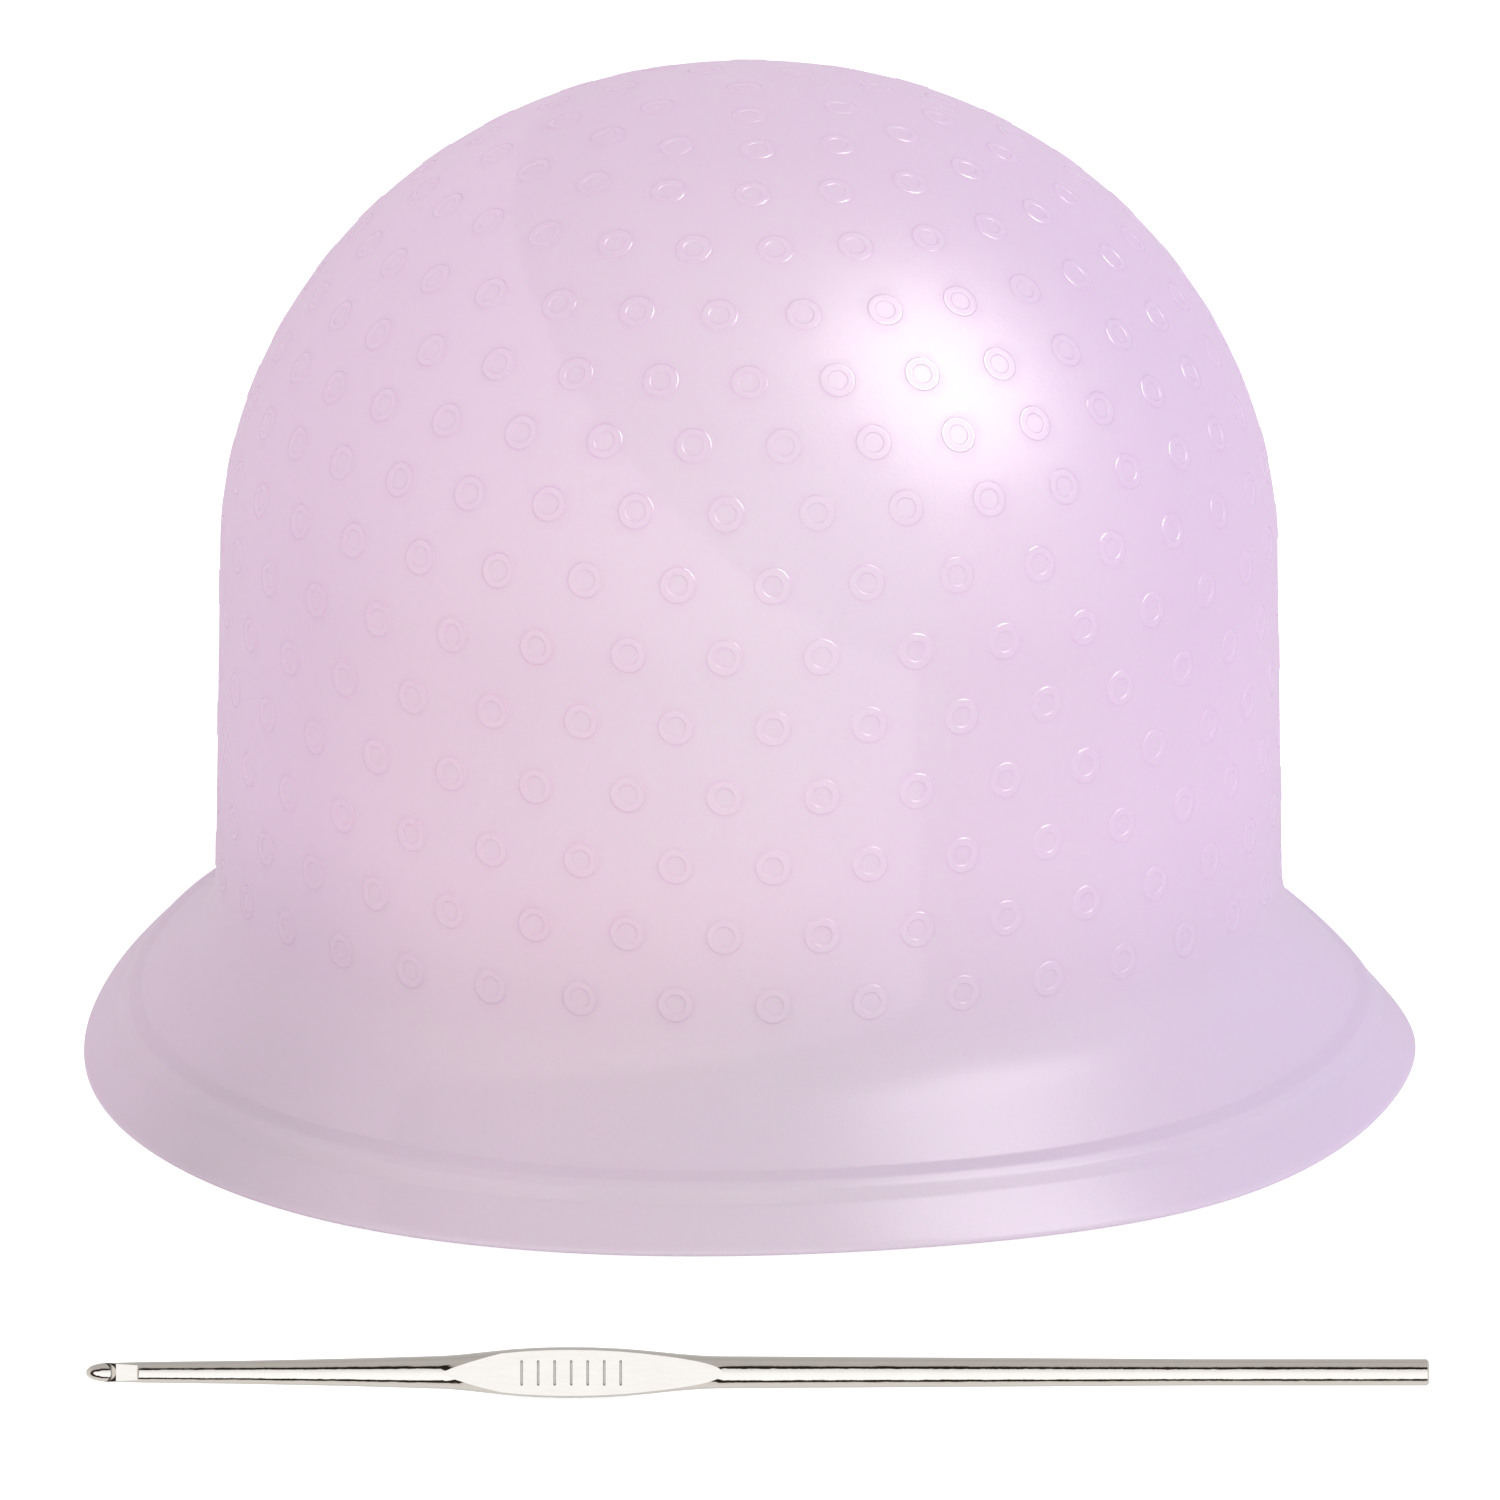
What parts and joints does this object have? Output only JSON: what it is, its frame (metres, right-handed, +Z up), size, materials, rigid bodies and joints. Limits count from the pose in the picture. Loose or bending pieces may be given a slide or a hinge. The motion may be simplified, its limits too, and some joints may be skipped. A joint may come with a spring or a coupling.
{
  "type": "highlighting cap",
  "caption": "Flexible domed cap with a flared brim and rows of ring marks for drawing strands of hair through, with its thin steel hook.",
  "frame": {"origin": "the middle of the plane that the brim's edge rests on, on the cap's axis", "axes": "+Z up along the cap's axis, -Y towards the front where the hook lies, +X along the hook from its head to its butt"},
  "size_m": [0.2328, 0.2932, 0.1751],
  "materials": {
    "silicone": "satin, translucent lilac silicone",
    "plated_steel": "bright nickel plate on drawn steel"
  },
  "bodies": {
    "cap": {"cap_shell": "silicone"},
    "hook_tool": {"hook": "plated_steel"}
  },
  "joints": [
    {"name": "hook_lift", "type": "slide", "parent": "cap", "child": "hook_tool", "axis": [0, 0, 1], "range_m": [0, 0.25]}
  ]
}
